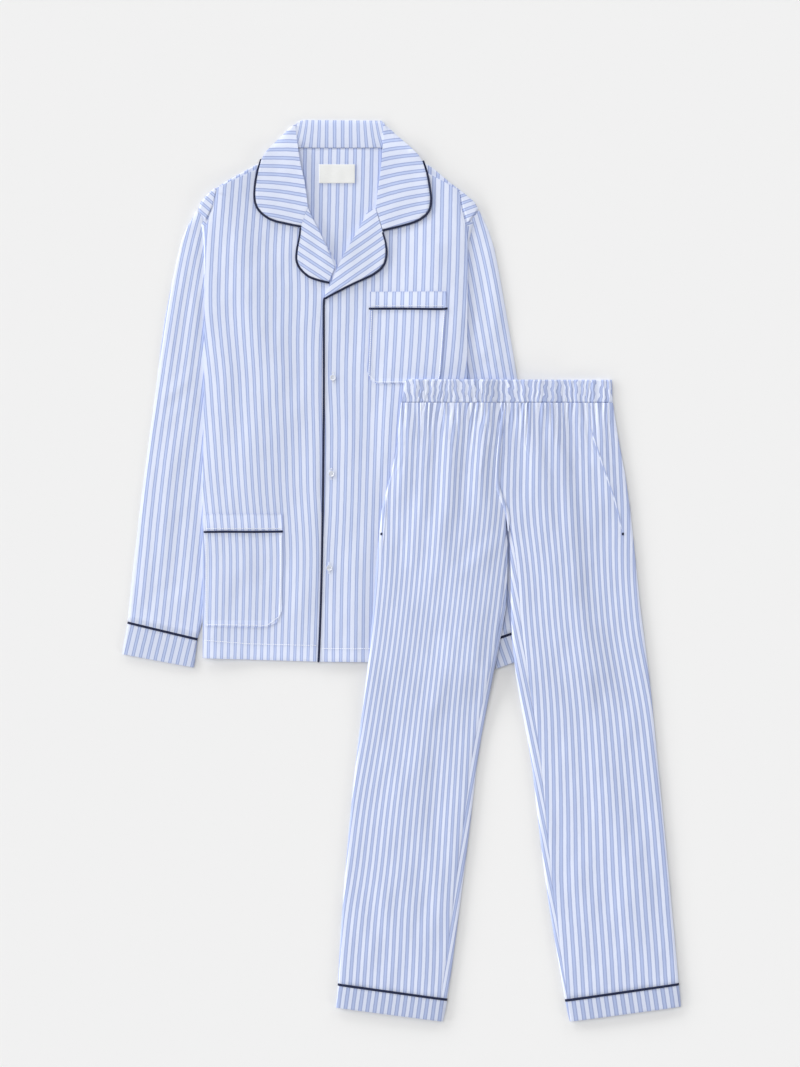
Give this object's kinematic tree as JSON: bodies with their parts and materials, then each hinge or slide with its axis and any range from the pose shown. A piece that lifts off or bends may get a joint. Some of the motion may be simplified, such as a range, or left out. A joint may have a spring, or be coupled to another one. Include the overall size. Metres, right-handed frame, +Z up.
{
  "type": "pyjama set",
  "caption": "Striped cotton pyjama set laid flat: a piped long-sleeved button-through jacket with a notched collar, and elastic-waist trousers lying over its lower right side.",
  "frame": {"origin": "bottom centre of the whole set's box, on the surface that the set lies on", "axes": "+Y towards the collar, +X to the right as seen from above, +Z up from the surface"},
  "size_m": [0.8372, 1.351, 0.0175],
  "materials": {
    "striped_cotton": "matt",
    "navy_piping": "satin",
    "pearl_button": "gloss",
    "label_cloth": "matt"
  },
  "bodies": {
    "root": {"jacket_back": "striped_cotton", "jacket_front_under": "striped_cotton", "jacket_front_over": "striped_cotton", "lapel_left": "striped_cotton", "lapel_right": "striped_cotton", "collar": "striped_cotton", "sleeve_left": "striped_cotton", "sleeve_right": "striped_cotton", "cuff_left": "striped_cotton", "cuff_right": "striped_cotton", "cuff_piping_left": "navy_piping", "cuff_piping_right": "navy_piping", "collar_piping_left": "navy_piping", "collar_piping_right": "navy_piping", "lapel_piping_left": "navy_piping", "lapel_piping_right": "navy_piping", "front_edge_piping": "navy_piping", "chest_pocket": "striped_cotton", "chest_pocket_band": "striped_cotton", "chest_pocket_piping": "navy_piping", "side_pocket": "striped_cotton", "side_pocket_band": "striped_cotton", "side_pocket_piping": "navy_piping", "neck_label": "label_cloth", "button_1": "pearl_button", "button_2": "pearl_button", "button_3": "pearl_button", "waistband": "striped_cotton", "leg_front_left": "striped_cotton", "leg_back_left": "striped_cotton", "leg_band_left": "striped_cotton", "leg_piping_left": "navy_piping", "leg_front_right": "striped_cotton", "leg_back_right": "striped_cotton", "leg_band_right": "striped_cotton", "leg_piping_right": "navy_piping"}
  },
  "joints": []
}
